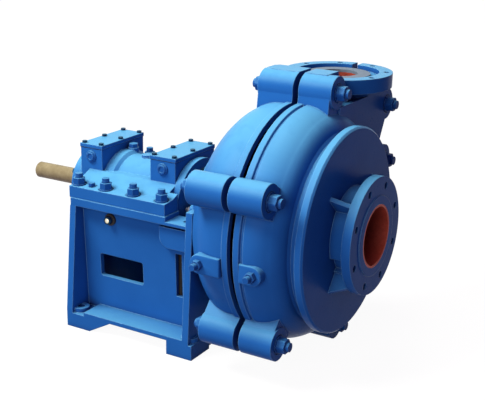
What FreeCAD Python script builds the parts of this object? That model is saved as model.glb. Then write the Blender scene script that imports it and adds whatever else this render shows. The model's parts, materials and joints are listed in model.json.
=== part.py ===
import FreeCAD, Part
import math
import os

# Slurry pump, millimetres. X along the shaft towards the suction side, Z up.
# Origin: centre of the foundation bolt pattern on the plane of the feet.

os.makedirs("parts", exist_ok=True)
V = FreeCAD.Vector
X_AXIS = V(1, 0, 0)
Y_AXIS = V(0, 1, 0)
Z_AXIS = V(0, 0, 1)

# ---------------------------------------------------------------- driving sizes
ZC = 365.0              # shaft axis above the feet
FIT = 0.3               # gap between curved faces of parts that move apart
SEAT = 0.1              # gap between a fitted ring and its seat
HOLE = 1.0              # radial clearance of a bolt in its hole

# base frame
BASE_HALF_X = 210.0
FOOT_HALF_Y = 223.0
FOUND_DX = 370.0
FOUND_DY = 380.0
FOUND_R = 11.0
FOOT_T = 42.0
FOOT_BOSS_T = 12.0
LEDGE_Z = (40.0, 52.0)
LEDGE_X = -150.0        # drive-side end of the ledge
HAUNCH = ((-131.0, 0.0), (-57.0, 41.0), (-131.0, 41.0))
WALL_T = 15.0
PLATE_T = 20.0
WALL_Y_TOP = 163.0
WALL_Y_BOT = 148.0
SEAT_Z = 374.0          # top of the rails
RAIL_T = 22.0
RAIL_Y = (128.0, 194.0)
RAIL_X = (-208.0, 108.0)
ADAPTER_X = 200.0       # face that carries the wet end
ADAPTER_R = 178.0
ADAPTER_BORE_R = 122.0
SHOULDER_Z = 403.0
WINDOW_X = (-138.0, 8.0)
WINDOW_Z = (146.0, 213.0)
WINDOW_ROUND = 7.0
SLOT_X = (117.0, 137.0)
SLOT_Z = (140.0, 264.0)
FOOT_X = 80.0           # length of a foot
FOOT_BOSS_R = 24.0
STUD_PCD = 300.0        # studs between base and frame plate
STUD_COUNT = 8
STUD_R = 8.0
SHELF_T = 9.0            # shelf between the rail and the adapter plate
SUMP_X = (78.0, 182.0)   # drip sump beside the gland
SUMP_Z = (282.0, 340.0)
SUMP_Y = 178.0
SUMP_ROUND = 30.0
NUT_CLEAR_R = 18.0
DRAIN_X = -94.0
DRAIN_Z = 322.0
SCREW_Y = -146.0

# bearing assembly
FLANGE_Z = 406.0        # top of the hold-down flange
FLANGE_HALF_Y = 190.0
FLANGE_X = (-214.0, 104.0)
SHOULDER_Y = 150.0
SHOULDER_TOP = (98.0, 433.0)
HOLD_X = (-196.0, -104.0, -12.0, 80.0)
HOLD_Y = 168.0
HOLD_R = 10.0
BARREL_R = 100.0
BARREL_X = (-262.0, 78.0)
BOX_X = ((-244.0, -170.0), (-5.0, 76.0))
BOX_HALF_Y = 98.0
BOX_TOP = 494.0
LID_T = 10.0
BOX_WALL = 9.0
LID_LAP = 1.5
SHOULDER_RING = (-172.0, -132.0)
COVER_PCD = 176.0
COVER_NOSE = 4.0
FILLER_X = -152.0
FILLER_Y = 26.0
FILLER_LIFT = 13.0      # top of the filler boss above the barrel
VENT_X = -84.0
VENT_R = 17.0
GUIDE_X = -152.0        # small set screws between the hold-down studs
WASHER_R = 18.0
COVER_R = 122.0
COVER_T = 20.0
BRG_X = (-215.0, 40.0)  # bearing centres
BRG_W = 38.0
INNER_R = (35.0, 45.0)
ROLLER_R = 8.0
ROLLERS = 12
PITCH_R = INNER_R[1] + FIT + ROLLER_R
OUTER_R = (PITCH_R + ROLLER_R + FIT, 76.0)
SLIDE = 2.0             # impeller setting travel each way

# shaft line
SHAFT_END_X = -487.0
SHAFT_END_R = 24.0
KEY_W = 14.0
KEY_DEPTH = 5.5
KEY_LEN = 104.0
KEY_START = 16.0        # plain length ahead of the keyway
KEY_TURN = 40.0         # degrees from straight down to the keyway, towards the far side
SLEEVE_R = 40.0
SLEEVE_CORE_R = 32.0
THREAD_R = 25.0
LABYRINTH_X = (102.5, 106.0)

# gland and stuffing box
BOX_FACE_X = 142.0
PACK_R = 52.0
PACK_W = 11.0
GLAND_STUD_Y = 84.0
GLAND_STUD_R = 6.0
GLAND_X = (122.0, 136.0)

# wet end
GAP_X = (366.5, 382.5)
GAP_C = sum(GAP_X) / 2.0
RIM_R = 310.0
FRONT_X = 546.0
FRONT_R = 268.0
NOSE_X = 616.0
NOSE_R = 152.5
NOSE_T = 24.0
NOSE_PCD = 260.0
NOSE_HOLES = 8
NOSE_HOLE_R = 9.5
BORE_R = 76.0
BOSS_R = 43.0
BOSS_X = (264.0, 474.0)
BOSS_YZ = ((46.0, 705.0), (-296.0, 508.0), (-232.0, 121.0), (104.0, 50.0),
           (376.0, 459.0), (372.0, 621.0))
WEB_TRIM = 3.0          # the web is narrower than the boss each side
WEB_X = (266.0, 470.0)
POCKET_R = 26.0         # spot face under each washer
POCKET_T = 2.0
NUT_H = 21.0
TIE_PROUD = 9.0
TIE_R = 12.0
WASHER_T = 4.0
TIE_WASHER_R = 23.0
LINER_T = 22.0
LAND_R = (196.0, 214.0)
SIDE_R = 190.0
SIDE_X = (316.0, 419.0)

# discharge
DIS_Y = 254.0
DIS_Z = 722.0
DIS_T = 38.0
DIS_R = 148.0
DIS_RECESS_R = 112.0
DIS_RECESS_T = 14.0
DIS_OPEN_R = 84.0
DIS_BORE_R = 54.0
DIS_WALL = 13.0
DIS_STRAIGHT_Z = 616.0  # bottom of the upright part of the bore
JOINT_R = 88.0
JOINT_T = 8.0
DIS_PCD = 262.0
DIS_HOLES = 8
DIS_HOLE_R = 8.0
PAD_X = (265.0, 446.0)  # raised pad over the near boss
PAD_Y = (36.0, 104.0)
PAD_TOP = 749.0

# liners and suction nose
LINER_HALF = 88.0
FLOW_HALF = 66.0
TONGUE = 62.0
SPIRAL = (200.0, 256.0)
LIP_R = 104.0
LIP_T = 3.0
BUSH_LIP = 6.0
RIB_T = 11.0
RIB_ANGLES = (43.0, 137.0, 230.0, 310.0)
NECK_R = 119.0
NOTCH_ANGLES = (212.0, -32.0)
NOTCH_HALF = 25.0
NOTCH_T = 17.0
LOCK_X = (288.0, 438.0)
LOCK_Z = 320.0
LOCK_PAD_R = 24.0

# impeller
IMP_R = 182.0
VANES = 5
SHROUD_BACK = (322.0, 335.0)
SHROUD_FRONT = (403.0, 416.0)


# ---------------------------------------------------------------- shape helpers
def cyl(r, x0, x1, y=0.0, z=ZC):
    """Cylinder along X."""
    return Part.makeCylinder(r, x1 - x0, V(x0, y, z), X_AXIS)


def tube(r0, r1, x0, x1, y=0.0, z=ZC):
    """Ring along X."""
    return cyl(r1, x0, x1, y, z).cut(cyl(r0, x0 - 1, x1 + 1, y, z))


def vcyl(r, z0, z1, x, y):
    """Cylinder along Z."""
    return Part.makeCylinder(r, z1 - z0, V(x, y, z0), Z_AXIS)


def ycyl(r, y0, y1, x, z):
    """Cylinder along Y."""
    return Part.makeCylinder(r, y1 - y0, V(x, y0, z), Y_AXIS)


def block(x0, x1, y0, y1, z0, z1):
    return Part.makeBox(x1 - x0, y1 - y0, z1 - z0, V(x0, y0, z0))


def face(points):
    return Part.Face(Part.makePolygon(points + [points[0]]))


def prism_x(yz, x0, x1):
    """Polygon of (y, z) points extruded along X."""
    return face([V(x0, y, z) for y, z in yz]).extrude(V(x1 - x0, 0, 0))


def prism_y(xz, y0, y1):
    """Polygon of (x, z) points extruded along Y."""
    return face([V(x, y0, z) for x, z in xz]).extrude(V(0, y1 - y0, 0))


def prism_z(xy, z0, z1):
    """Polygon of (x, y) points extruded along Z."""
    return face([V(x, y, z0) for x, y in xy]).extrude(V(0, 0, z1 - z0))


def turned(profile):
    """Revolve an (x, r) outline about the shaft axis."""
    flat = face([V(x, 0, ZC + r) for x, r in profile])
    return flat.revolve(V(0, 0, ZC), X_AXIS, 360)


def hexagon(r, turn=0.0):
    angles = [math.radians(60.0 * k + turn) for k in range(6)]
    return [(r * math.cos(a), r * math.sin(a)) for a in angles]


def nut_x(across, bore, x0, x1, y, z, turn=0.0):
    """Hexagon nut along X with a chamfered outer end."""
    r = across / math.sqrt(3.0)
    pts = [(y + a, z + b) for a, b in hexagon(r, turn)]
    nut = prism_x(pts, x0, x1)
    nut = nut.common(cyl(across / 2.0 * 1.09, x0, x1, y, z))
    return nut.cut(cyl(bore, x0 - 1, x1 + 1, y, z)) if bore else nut


def nut_z(across, bore, z0, z1, x, y, turn=0.0):
    """Hexagon nut or head along Z."""
    r = across / math.sqrt(3.0)
    pts = [(x + a, y + b) for a, b in hexagon(r, turn)]
    nut = prism_z(pts, z0, z1)
    return nut.cut(vcyl(bore, z0 - 1, z1 + 1, x, y)) if bore else nut


def ring_points(count, pcd, start=0.0):
    """(y, z) offsets of a bolt circle."""
    step = 360.0 / count
    angles = [math.radians(start + step * k) for k in range(count)]
    return [(pcd / 2.0 * math.cos(a), pcd / 2.0 * math.sin(a)) for a in angles]


def join(shapes):
    body = shapes[0]
    for shape in shapes[1:]:
        body = body.fuse(shape)
    return body.removeSplitter()


def remove(body, shapes):
    for shape in shapes:
        body = body.cut(shape)
    return body


def mirror_y(shape):
    return shape.mirror(V(0, 0, 0), Y_AXIS)


def save(name, shapes):
    """Write one node; a list becomes a group of separate solids."""
    items = shapes if isinstance(shapes, list) else [shapes]
    solids = [s for item in items for s in item.Solids]
    out = solids[0] if len(solids) == 1 else Part.makeCompound(solids)
    out.exportStep("parts/" + name + ".step")


# ---------------------------------------------------------------- base frame
def end_plate(x0, x1, top_z, top_y):
    """Upright end of the base, wider at the feet."""
    pts = [(-FOOT_HALF_Y, 0), (FOOT_HALF_Y, 0), (FOOT_HALF_Y, LEDGE_Z[1])]
    pts += [(top_y, top_z), (-top_y, top_z), (-FOOT_HALF_Y, LEDGE_Z[1])]
    return prism_x(pts, x0, x1)


def rounded_opening(span_x, span_z, radius, y0, y1):
    """Cutter for a window with rounded corners through a side wall."""
    wide = block(span_x[0], span_x[1], y0, y1, span_z[0] + radius, span_z[1] - radius)
    tall = block(span_x[0] + radius, span_x[1] - radius, y0, y1, span_z[0], span_z[1])
    corners = []
    for x in (span_x[0] + radius, span_x[1] - radius):
        for z in (span_z[0] + radius, span_z[1] - radius):
            corners.append(ycyl(radius, y0, y1, x, z))
    return join([wide, tall] + corners)


def side_wall(x0, x1):
    """Near-side wall, leaning in towards the bottom."""
    top = SEAT_Z - RAIL_T + 2
    pts = [(-WALL_Y_TOP, top), (-WALL_Y_TOP + WALL_T, top)]
    pts += [(-WALL_Y_BOT + WALL_T, LEDGE_Z[0]), (-WALL_Y_BOT, LEDGE_Z[0])]
    wall = prism_x(pts, x0, x1)
    window = rounded_opening(WINDOW_X, WINDOW_Z, WINDOW_ROUND, -200, -100)
    slot = block(SLOT_X[0], SLOT_X[1], -200, -100, SLOT_Z[0], SLOT_Z[1])
    return wall.cut(window).cut(slot)


def make_base():
    inner = BASE_HALF_X - PLATE_T
    left = end_plate(-BASE_HALF_X, -inner, SEAT_Z - RAIL_T, RAIL_Y[1])
    adapter_in = ADAPTER_X - PLATE_T
    right = end_plate(adapter_in, ADAPTER_X, SHOULDER_Z, 204.0)
    disc = cyl(ADAPTER_R, adapter_in, ADAPTER_X)
    half = [side_wall(-inner - 1, adapter_in + 1)]
    half.append(block(LEDGE_X, adapter_in + 1, -FOOT_HALF_Y, -WALL_Y_BOT + WALL_T,
                      LEDGE_Z[0], LEDGE_Z[1]))
    half.append(prism_y(list(HAUNCH), -FOOT_HALF_Y, -FOOT_HALF_Y + WALL_T))
    rail_z = SEAT_Z - RAIL_T
    half.append(block(RAIL_X[0], RAIL_X[1], -RAIL_Y[1], -RAIL_Y[0], rail_z, SEAT_Z))
    half.append(block(RAIL_X[1] - 1, adapter_in + 1, -RAIL_Y[1], -RAIL_Y[0], rail_z,
                      rail_z + SHELF_T))
    for sx in (-1, 1):
        x0, x1 = sorted((sx * BASE_HALF_X, sx * (BASE_HALF_X - FOOT_X)))
        half.append(block(x0, x1, -FOOT_HALF_Y, -WALL_Y_BOT + WALL_T, 0, FOOT_T))
    sump = block(SUMP_X[0], SUMP_X[1], -SUMP_Y, -WALL_Y_TOP + WALL_T, SUMP_Z[0], SUMP_Z[1])
    round_x = SUMP_X[0] + SUMP_ROUND
    round_z = SUMP_Z[0] + SUMP_ROUND
    corner = block(SUMP_X[0] - 1, round_x, -SUMP_Y - 1, -100, SUMP_Z[0] - 1, round_z)
    corner = corner.cut(ycyl(SUMP_ROUND, -SUMP_Y - 2, -99, round_x, round_z))
    half.append(sump.cut(corner))
    near = join(half)
    body = join([left, right, disc, near, mirror_y(near)])
    tie_y = WALL_Y_BOT - WALL_T + 1
    tie = block(-36, -22, -tie_y, tie_y, LEDGE_Z[0], 120)
    tray = tube(126.0, 134.0, RAIL_X[1] + 4, adapter_in + 1)
    tray = tray.common(block(RAIL_X[1], adapter_in + 2, -140, 140, 200, rail_z + 8))
    body = join([body, tie, tray])
    cuts = [cyl(ADAPTER_BORE_R, adapter_in - 1, ADAPTER_X + 1)]
    cuts.append(cyl(132.0, -BASE_HALF_X - 1, -inner + 1))
    cuts.append(block(-inner, adapter_in, -WALL_Y_BOT + 30, WALL_Y_BOT - 30, -1, LEDGE_Z[0] - 1))
    for x in (-FOUND_DX / 2, FOUND_DX / 2):
        for y in (-FOUND_DY / 2, FOUND_DY / 2):
            cuts.append(vcyl(FOUND_R, -1, FOOT_T + FOOT_BOSS_T + 1, x, y))
    for y, z in ring_points(STUD_COUNT, STUD_PCD):
        cuts.append(cyl(STUD_R + HOLE, adapter_in - 1, ADAPTER_X + 1, y, ZC + z))
        cuts.append(cyl(NUT_CLEAR_R, adapter_in - 34, adapter_in, y, ZC + z))
    for x in HOLD_X:
        for y in (-HOLD_Y, HOLD_Y):
            cuts.append(vcyl(HOLD_R + SEAT, rail_z - 1, SEAT_Z + 1, x, y))
    cuts.append(cyl(8 + SEAT, RAIL_X[0] - 1, RAIL_X[0] + 30, SCREW_Y, SEAT_Z - RAIL_T / 2))
    cuts.append(ycyl(9.0 + SEAT, -190, -100, DRAIN_X, DRAIN_Z))
    bosses = []
    for x in (-FOUND_DX / 2, FOUND_DX / 2):
        for y in (-FOUND_DY / 2, FOUND_DY / 2):
            bosses.append(vcyl(FOOT_BOSS_R, FOOT_T - 1, FOOT_T + FOOT_BOSS_T, x, y))
    return remove(join([body] + bosses), cuts)



# ---------------------------------------------------------------- bearing housing
def make_housing():
    outline = [(-FLANGE_HALF_Y, SEAT_Z), (FLANGE_HALF_Y, SEAT_Z), (FLANGE_HALF_Y, FLANGE_Z)]
    outline += [(SHOULDER_Y, FLANGE_Z + 4), SHOULDER_TOP, (-SHOULDER_TOP[0], SHOULDER_TOP[1])]
    outline += [(-SHOULDER_Y, FLANGE_Z + 4), (-FLANGE_HALF_Y, FLANGE_Z)]
    solid = [prism_x(outline, FLANGE_X[0], FLANGE_X[1])]
    solid.append(cyl(BARREL_R, BARREL_X[0], BARREL_X[1]))
    for x0, x1 in BOX_X:
        solid.append(block(x0, x1, -BOX_HALF_Y, BOX_HALF_Y, SEAT_Z, BOX_TOP))
    r = BARREL_R
    x0, x1 = SHOULDER_RING
    solid.append(turned([(x0, 0), (x0, r + 9), (x1 - 10, r + 9), (x1, r - 1), (x1, 0)]))
    solid.append(vcyl(16.0, ZC + BARREL_R - 14, ZC + BARREL_R + FILLER_LIFT, FILLER_X, FILLER_Y))
    solid.append(vcyl(VENT_R, ZC + BARREL_R - 14, ZC + BARREL_R + 2, VENT_X, 0))
    body = join(solid)
    inner = BARREL_R - 18
    cuts = [cyl(inner, BRG_X[0] + 24, BRG_X[1] - 24)]
    cuts.append(cyl(OUTER_R[1] + SEAT, BARREL_X[0] - 1, BARREL_X[1] + 40))
    for x0, x1 in BOX_X:
        cell = block(x0 + BOX_WALL, x1 - BOX_WALL, -BOX_HALF_Y + BOX_WALL,
                     BOX_HALF_Y - BOX_WALL, SHOULDER_TOP[1] - 20, BOX_TOP + 1)
        cuts.append(cell.cut(cyl(BARREL_R, x0 - 1, x1 + 1)))
    for x in HOLD_X:
        for y in (-HOLD_Y, HOLD_Y):
            cuts.append(vcyl(HOLD_R + SLIDE + HOLE, SEAT_Z - 1, FLANGE_Z + 30, x, y))
            cuts.append(vcyl(WASHER_R + SLIDE + HOLE, FLANGE_Z, FLANGE_Z + 40, x, y))
    for y in (-HOLD_Y, HOLD_Y):
        cuts.append(vcyl(12.0, FLANGE_Z + 3, FLANGE_Z + 30, GUIDE_X, y))
        cuts.append(vcyl(5.0 + SEAT, FLANGE_Z - 15, FLANGE_Z + 30, GUIDE_X, y))
    for x in (BARREL_X[0], BARREL_X[1]):
        for y, z in ring_points(6, COVER_PCD, 30):
            cuts.append(cyl(5.0 + SEAT, x - 20, x + 20, y, ZC + z))
    cuts.append(block(BARREL_X[1], FLANGE_X[1] + 1, -RAIL_Y[0], RAIL_Y[0], 200, 600))
    return remove(body, cuts)



def make_lid(x0, x1):
    y = BOX_HALF_Y + LID_LAP
    return block(x0 - LID_LAP, x1 + LID_LAP, -y, y, BOX_TOP, BOX_TOP + LID_T)


def lid_bolts(x0, x1):
    out = []
    for x in (x0 + 8, x1 - 8):
        for y in (-BOX_HALF_Y + 8, 0.0, BOX_HALF_Y - 8):
            head = nut_z(13.0, 0, BOX_TOP + LID_T, BOX_TOP + LID_T + 6, x, y)
            out.append(head)
    return out


def end_cover(x_face, sign, radius, bore):
    x1 = x_face + sign * COVER_T
    a, b = sorted((x_face, x1))
    cover = cyl(radius, a, b)
    spigot_end = x_face - sign * 12
    a, b = sorted((x_face, spigot_end))
    cover = cover.fuse(cyl(OUTER_R[1] - SEAT, a, b))
    nose_end = x1 + sign * COVER_NOSE
    a, b = sorted((x1, nose_end))
    cover = cover.fuse(cyl(bore + 18, a, b))
    cover = cover.cut(cyl(bore, x_face - 60, x_face + 60))
    a, b = sorted((spigot_end - sign, x_face + sign * 6))
    cover = cover.cut(cyl(56.0, a, b))
    return cover


def bearing(center):
    """Outer ring, rollers, cage and inner ring of one bearing."""
    x0 = center - BRG_W / 2.0
    x1 = center + BRG_W / 2.0
    outer = tube(OUTER_R[0], OUTER_R[1], x0, x1)
    inner = tube(INNER_R[0] + SEAT, INNER_R[1], x0, x1)
    spots = ring_points(ROLLERS, 2 * PITCH_R)
    rollers = [cyl(ROLLER_R, x0 + 5, x1 - 5, y, ZC + z) for y, z in spots]
    cage = tube(PITCH_R - 3.0, PITCH_R + 3.0, x0 + 1, x1 - 1)
    for y, z in spots:
        cage = cage.cut(cyl(ROLLER_R + FIT, x0 + 4.7, x1 - 4.7, y, ZC + z))
    return outer, rollers, cage, inner


# ---------------------------------------------------------------- wet end
# casing outlines: a start, then straight runs (x, r) or arcs (middle, end)
REAR_OUT = ((GAP_X[0], 0.0), (GAP_X[0], RIM_R), (351.0, RIM_R), (348.0, RIM_R - 4),
            ((296.0, 299.0), (256.0, 275.0)), ((224.0, 240.0), (ADAPTER_X, 198.0)),
            (ADAPTER_X, 0.0))
REAR_IN = ((GAP_X[0] + 1, 0.0), (GAP_X[0] + 1, 294.0), (322.0, 291.0),
           ((290.0, 281.0), (260.0, 259.0)), ((240.0, 236.0), (222.0, 204.0)), (222.0, 0.0))
FRONT_OUT = ((GAP_X[1], 0.0), (GAP_X[1], RIM_R), (398.0, RIM_R), (401.0, RIM_R - 6),
             (406.0, RIM_R - 6), (409.0, RIM_R - 1), ((440.0, 304.0), (468.0, 290.0)),
             ((488.0, 272.0), (497.0, 250.0)), (503.0, 242.0), (519.0, 242.0),
             (525.0, 250.0), (525.0, FRONT_R), (FRONT_X - 5, FRONT_R),
             (FRONT_X, FRONT_R - 5), (FRONT_X, 0.0))
FRONT_IN = ((GAP_X[1] - 1, 0.0), (GAP_X[1] - 1, 294.0), (424.0, 293.0),
            ((450.0, 287.0), (466.0, 274.0)), (490.0, 234.0), (522.0, 222.0), (522.0, 0.0))


def turned_outline(outline):
    """Revolve an outline of straight runs and arcs about the shaft axis."""
    edges = []
    here = V(outline[0][0], 0, ZC + outline[0][1])
    first = here
    for run in outline[1:]:
        if isinstance(run[0], tuple):
            middle, end = [V(x, 0, ZC + r) for x, r in run]
            edges.append(Part.Arc(here, middle, end).toShape())
        else:
            end = V(run[0], 0, ZC + run[1])
            edges.append(Part.makeLine(here, end))
        here = end
    edges.append(Part.makeLine(here, first))
    return Part.Face(Part.Wire(edges)).revolve(V(0, 0, ZC), X_AXIS, 360)


def boss_web(y, z, x0, x1):
    """Parallel-sided web that carries a tie-bolt boss down to the round casing."""
    dist = math.hypot(y, z - ZC)
    uy, uz = y / dist, (z - ZC) / dist
    half = BOSS_R - WEB_TRIM
    run = ((dist, half), (RIM_R - 74, half))
    one = [(uy * a - uz * h, ZC + uz * a + uy * h) for a, h in run]
    two = [(uy * a + uz * h, ZC + uz * a - uy * h) for a, h in reversed(run)]
    return prism_x(one + two, x0, x1)


def discharge_pad():
    """Raised pad over the near boss, joined to the flange behind it."""
    pts = [(PAD_X[0], PAD_Y[0] + 16), (PAD_X[0] + 10, PAD_Y[0] + 4), (PAD_X[1], PAD_Y[0])]
    pts += [(PAD_X[1], PAD_Y[1]), (PAD_X[0] + 10, PAD_Y[1]), (PAD_X[0], PAD_Y[1] - 12)]
    return prism_z(pts, BOSS_YZ[0][1], PAD_TOP)


def neck_outer():
    """Upright neck between the round casing and the discharge flange."""
    r = DIS_OPEN_R + 16
    body = vcyl(DIS_R, DIS_Z - DIS_T, DIS_Z, GAP_C, DIS_Y)
    body = body.fuse(vcyl(r, ZC + 110, DIS_Z - 1, GAP_C, DIS_Y))
    body = body.fuse(block(GAP_C - r, GAP_C + r, PAD_Y[0] + 24, DIS_Y, ZC + 150, ZC + 300))
    body = body.fuse(discharge_pad())
    top = DIS_Z - DIS_T + 1
    for x in (GAP_C - r, GAP_C + r - 12):
        web = [(DIS_Y - 20, top), (DIS_Y + DIS_R - 12, top), (DIS_Y + DIS_R - 16, top - 70)]
        web += [(DIS_Y + 64, ZC + 130), (DIS_Y - 20, ZC + 130)]
        body = body.fuse(prism_x(web, x, x + 12))
    return body


def neck_cavity():
    low = block(GAP_C - 96, GAP_C + 96, 84, DIS_Y - 20, ZC + 60, ZC + 212)
    body = neck_loft(DIS_WALL + 6.0, DIS_Z + 1).fuse(low)
    return body.fuse(vcyl(DIS_RECESS_R, DIS_Z - DIS_RECESS_T, DIS_Z + 1, GAP_C, DIS_Y))


def half_space(rear):
    if rear:
        return block(100, GAP_X[0], -600, 600, 0, 900)
    return block(GAP_X[1], 700, -600, 600, 0, 900)


def make_half(rear):
    """One casing half with its bosses, its side of the neck and its inner lands."""
    keep = half_space(rear)
    if rear:
        shell = turned_outline(REAR_OUT)
        cavity = turned_outline(REAR_IN)
        x0, x1 = BOSS_X[0], GAP_X[0]
    else:
        shell = turned_outline(FRONT_OUT)
        cavity = turned_outline(FRONT_IN)
        x0, x1 = GAP_X[1], BOSS_X[1]
    body = shell
    for y, z in BOSS_YZ:
        body = body.fuse(cyl(BOSS_R, x0, x1, y, z))
        body = body.fuse(boss_web(y, z, max(x0, WEB_X[0]), min(x1, WEB_X[1])))
    body = body.fuse(neck_outer().common(keep))
    lug_x = LOCK_X[0] if rear else LOCK_X[1]
    body = body.fuse(ycyl(LOCK_PAD_R, -RIM_R - 4, -RIM_R + 40, lug_x, LOCK_Z))
    body = body.cut(cavity).cut(neck_cavity())
    if rear:
        land = tube(LAND_R[0], LAND_R[1], 215.0, GAP_C - LINER_HALF)
        body = body.fuse(land)
    else:
        land = tube(LAND_R[0], LAND_R[1], GAP_C + LINER_HALF, 530.0)
        body = body.fuse(land)
        body = body.fuse(suction_nose())
    return remove(body, half_cuts(rear))


def suction_nose():
    """Suction flange on its ribbed neck."""
    inner = NOSE_X - NOSE_T + 2
    nose = cyl(NOSE_R, NOSE_X - NOSE_T, NOSE_X).fuse(cyl(NECK_R, FRONT_X - 6, NOSE_X - 2))
    for angle in NOTCH_ANGLES:
        notch = block(FRONT_X, NOSE_X - NOSE_T, -NOTCH_HALF, NOTCH_HALF, ZC + NECK_R - NOTCH_T,
                      ZC + NECK_R + 9)
        nose = nose.cut(notch.rotate(V(0, 0, ZC), X_AXIS, angle - 90.0))
    nose = nose.fuse(cyl(LIP_R, NOSE_X - 1, NOSE_X + LIP_T))
    for angle in RIB_ANGLES:
        foot = [(FRONT_X - 6, NOSE_R + 24), (inner, NOSE_R - 2), (inner, 96), (FRONT_X - 6, 96)]
        rib = face([V(x, -RIB_T / 2, ZC + r) for x, r in foot]).extrude(V(0, RIB_T, 0))
        nose = nose.fuse(rib.rotate(V(0, 0, ZC), X_AXIS, angle - 90.0))
    return nose


def half_cuts(rear):
    """Bores and bolt holes of one casing half."""
    cuts = []
    for y, z in BOSS_YZ:
        cuts.append(cyl(TIE_R + HOLE, BOSS_X[0] - 1, BOSS_X[1] + 1, y, z))
        x0, x1 = BOSS_X[0] - 80, BOSS_X[0] + POCKET_T
        if not rear:
            x0, x1 = BOSS_X[1] - POCKET_T, BOSS_X[1] + 120
        cuts.append(cyl(POCKET_R, x0, x1, y, z))
    if rear:
        cuts.append(cyl(112.0 + SEAT, ADAPTER_X - 1, 224.0))
        for y, z in ring_points(STUD_COUNT, STUD_PCD):
            cuts.append(cyl(STUD_R + SEAT, ADAPTER_X - 1, ADAPTER_X + 18.5, y, ZC + z))
    else:
        cuts.append(cyl(BORE_R + 24 + SEAT, 500, NOSE_X - 8))
        cuts.append(cyl(BORE_R + BUSH_LIP + SEAT, NOSE_X - 9, NOSE_X + LIP_T + 1))
        for y, z in ring_points(NOSE_HOLES, NOSE_PCD, 22.5):
            cuts.append(cyl(NOSE_HOLE_R, NOSE_X - NOSE_T - 1, NOSE_X + 1, y, ZC + z))
    for k in range(DIS_HOLES):
        a = math.radians(22.5 + 45.0 * k)
        x = GAP_C + DIS_PCD / 2 * math.cos(a)
        if (x < GAP_C) == rear:
            y = DIS_Y + DIS_PCD / 2 * math.sin(a)
            cuts.append(vcyl(DIS_HOLE_R, DIS_Z - DIS_T - 1, DIS_Z + 1, x, y))
    lug_x = LOCK_X[0] if rear else LOCK_X[1]
    cuts.append(ycyl(8 + SEAT, -RIM_R - 40, -RIM_R + 55, lug_x, LOCK_Z))
    return cuts



def spiral_face(x, offset):
    """Flow spiral outline at one station, grown by an offset."""
    pts = []
    for k in range(25):
        angle = math.radians(TONGUE + 15.0 * k)
        r = SPIRAL[0] + (SPIRAL[1] - SPIRAL[0]) * k / 24.0 + offset
        pts.append(V(x, r * math.cos(angle), ZC + r * math.sin(angle)))
    curve = Part.BSplineCurve()
    curve.interpolate(pts)
    return Part.Face(Part.Wire([curve.toShape(), Part.makeLine(pts[-1], pts[0])]))


def neck_loft(grow, z_top):
    """Discharge neck: a leaning transition from the spiral, then an upright bore."""
    wires = []
    r = DIS_BORE_R + grow
    stations = ((ZC + 40, 176.0, 78.0, 65.0), (ZC + 150, 184.0, 78.0, 65.0))
    for z, yc, ry, rx in stations:
        big, small = (ry + grow, rx + grow)
        shape = Part.Ellipse(V(GAP_C, yc + big, z), V(GAP_C + small, yc, z), V(GAP_C, yc, z))
        wires.append(Part.Wire([shape.toShape()]))
    top_ring = Part.makeCircle(r, V(GAP_C, DIS_Y, DIS_STRAIGHT_Z), Z_AXIS)
    wires.append(Part.Wire([top_ring]))
    lean = Part.makeLoft(wires, True, False)
    return lean.fuse(vcyl(r, DIS_STRAIGHT_Z, z_top, GAP_C, DIS_Y))


def make_liners():
    """Front and rear volute liners that meet at the parting plane."""
    x0 = GAP_C - LINER_HALF
    floor = DIS_Z - DIS_RECESS_T
    outer = spiral_face(x0, LINER_T).extrude(V(2 * LINER_HALF, 0, 0))
    outer = outer.fuse(neck_loft(DIS_WALL, floor))
    flow = spiral_face(GAP_C - FLOW_HALF, 0.0).extrude(V(2 * FLOW_HALF, 0, 0))
    flow = flow.fuse(neck_loft(0.0, floor + 1))
    body = outer.cut(flow)
    body = body.cut(cyl(SIDE_R + SEAT, x0 - 1, x0 + 2 * LINER_HALF + 1))
    rear = body.common(block(200, GAP_C, -600, 600, 0, 900))
    front = body.common(block(GAP_C, 700, -600, 600, 0, 900))
    return rear, front


def make_side_liners():
    back = turned([(222, 80), (SIDE_X[0], 46), (SIDE_X[0], SIDE_R), (222, SIDE_R), (222, 166),
                   (290, 166), (290, 112), (222, 112)])
    bush = turned([(SIDE_X[1], BORE_R), (SIDE_X[1], SIDE_R), (522, SIDE_R), (522, 166),
                   (446, 166), (446, BORE_R + 24), (NOSE_X - 8.5, BORE_R + 24),
                   (NOSE_X - 8.5, BORE_R + BUSH_LIP), (NOSE_X + LIP_T - 0.5, BORE_R + BUSH_LIP),
                   (NOSE_X + LIP_T - 0.5, BORE_R)])
    return back, bush


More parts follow.
